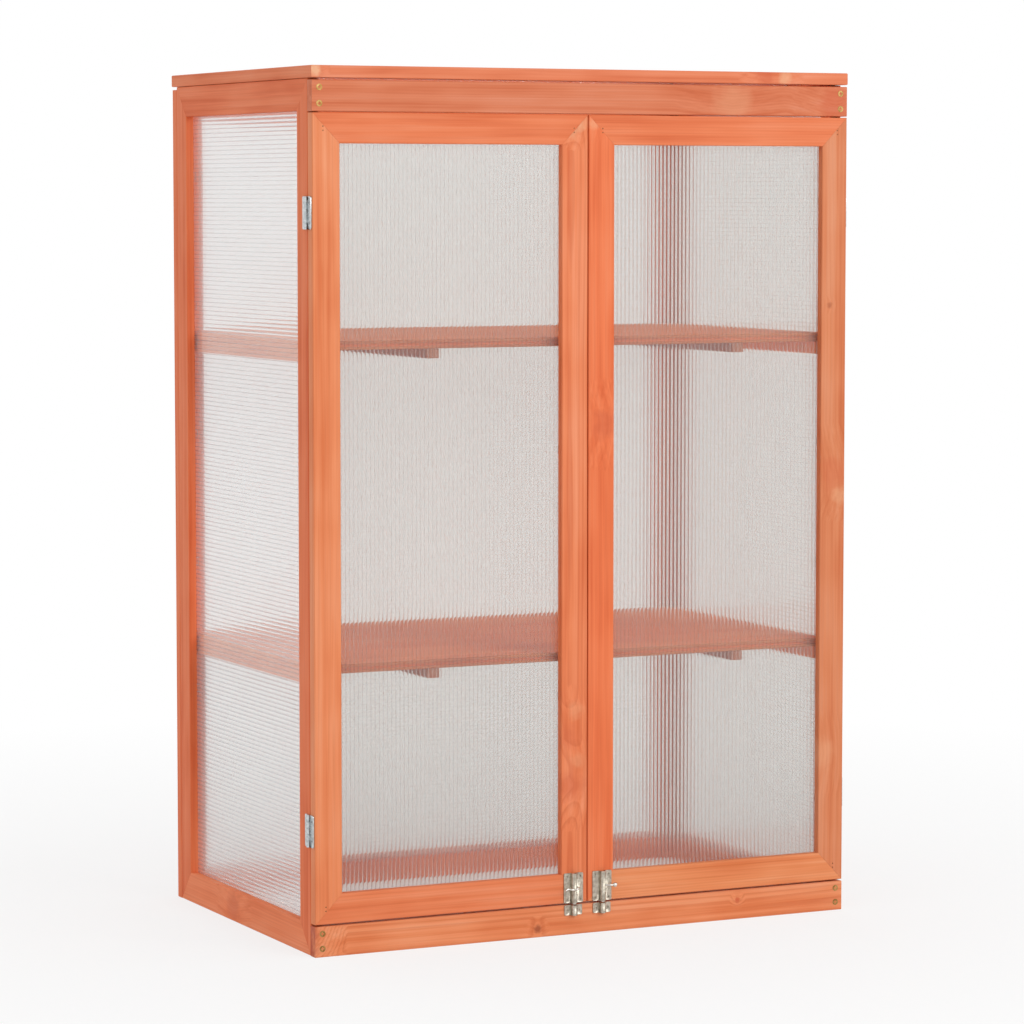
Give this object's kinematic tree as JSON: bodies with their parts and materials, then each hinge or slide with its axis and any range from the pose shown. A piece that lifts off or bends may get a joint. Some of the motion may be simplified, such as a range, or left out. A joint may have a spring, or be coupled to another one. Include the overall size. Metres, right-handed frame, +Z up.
{
  "type": "wooden mini greenhouse",
  "caption": "Upright cabinet greenhouse of mitred wooden frames glazed with twin-wall sheet, with hinged doors held by tower bolts, a hinged glazed lid and boarded inner shelves.",
  "frame": {"origin": "on the ground under the middle of the whole object, hinge barrels and bolt handles included", "axes": "+X to the right seen from the doors, +Y from the doors to the back, +Z up"},
  "size_m": [0.7582, 0.488, 1.09],
  "materials": {
    "stained_fir": "satin water-based stain on planed fir",
    "shelf_fir": "satin stain on planed tongue-and-groove fir",
    "twin_wall_sheet": "clear twin-wall polycarbonate, glossy skins over ribs",
    "zinc_plate": "bright zinc-plated pressed steel"
  },
  "bodies": {
    "cabinet": {"back_bottom_rail": "stained_fir", "back_left_stile": "stained_fir", "back_right_stile": "stained_fir", "back_sheet": "twin_wall_sheet", "back_top_rail": "stained_fir", "front_bottom_rail": "stained_fir", "front_top_rail": "stained_fir", "left_bolt_keeper": "zinc_plate", "left_door_lower_hinge_fixed_leaf": "zinc_plate", "left_door_upper_hinge_fixed_leaf": "zinc_plate", "left_side_bottom_rail": "stained_fir", "left_side_front_stile": "stained_fir", "left_side_rear_stile": "stained_fir", "left_side_sheet": "twin_wall_sheet", "left_side_top_rail": "stained_fir", "lid_left_hinge_fixed_leaf": "zinc_plate", "lid_right_hinge_fixed_leaf": "zinc_plate", "lower_shelf": "shelf_fir", "lower_shelf_left_batten": "shelf_fir", "lower_shelf_left_cleat": "shelf_fir", "lower_shelf_right_batten": "shelf_fir", "lower_shelf_right_cleat": "shelf_fir", "right_bolt_keeper": "zinc_plate", "right_door_lower_hinge_fixed_leaf": "zinc_plate", "right_door_upper_hinge_fixed_leaf": "zinc_plate", "right_side_bottom_rail": "stained_fir", "right_side_front_stile": "stained_fir", "right_side_rear_stile": "stained_fir", "right_side_sheet": "twin_wall_sheet", "right_side_top_rail": "stained_fir", "upper_shelf": "shelf_fir", "upper_shelf_left_batten": "shelf_fir", "upper_shelf_left_cleat": "shelf_fir", "upper_shelf_right_batten": "shelf_fir", "upper_shelf_right_cleat": "shelf_fir"},
    "left_door": {"left_bolt_plate": "zinc_plate", "left_door_bottom_rail": "stained_fir", "left_door_hinge_stile": "stained_fir", "left_door_lower_hinge_moving_leaf": "zinc_plate", "left_door_meeting_stile": "stained_fir", "left_door_sheet": "twin_wall_sheet", "left_door_top_rail": "stained_fir", "left_door_upper_hinge_moving_leaf": "zinc_plate"},
    "right_door": {"right_bolt_plate": "zinc_plate", "right_door_bottom_rail": "stained_fir", "right_door_hinge_stile": "stained_fir", "right_door_lower_hinge_moving_leaf": "zinc_plate", "right_door_meeting_stile": "stained_fir", "right_door_sheet": "twin_wall_sheet", "right_door_top_rail": "stained_fir", "right_door_upper_hinge_moving_leaf": "zinc_plate"},
    "lid": {"lid_back_board": "stained_fir", "lid_front_board": "stained_fir", "lid_left_board": "stained_fir", "lid_left_hinge_moving_leaf": "zinc_plate", "lid_right_board": "stained_fir", "lid_right_hinge_moving_leaf": "zinc_plate", "lid_sheet": "twin_wall_sheet"},
    "left_bolt": {"left_bolt_rod": "zinc_plate"},
    "right_bolt": {"right_bolt_rod": "zinc_plate"}
  },
  "joints": [
    {"name": "left_door_hinge", "type": "hinge", "parent": "cabinet", "child": "left_door", "pos_m": [-0.3767, -0.2162, 0], "axis": [0, 0, -1], "range_deg": [0, 175]},
    {"name": "right_door_hinge", "type": "hinge", "parent": "cabinet", "child": "right_door", "pos_m": [0.3767, -0.2162, 0], "axis": [0, 0, 1], "range_deg": [0, 175]},
    {"name": "lid_hinge", "type": "hinge", "parent": "cabinet", "child": "lid", "pos_m": [0, 0.2416, 1.073], "axis": [-1, 0, 0], "range_deg": [0, 175]},
    {"name": "left_bolt_slide", "type": "slide", "parent": "left_door", "child": "left_bolt", "axis": [0, 0, 1], "range_m": [-0.0075, 0.009]},
    {"name": "right_bolt_slide", "type": "slide", "parent": "right_door", "child": "right_bolt", "axis": [0, 0, 1], "range_m": [-0.0075, 0.009]}
  ]
}
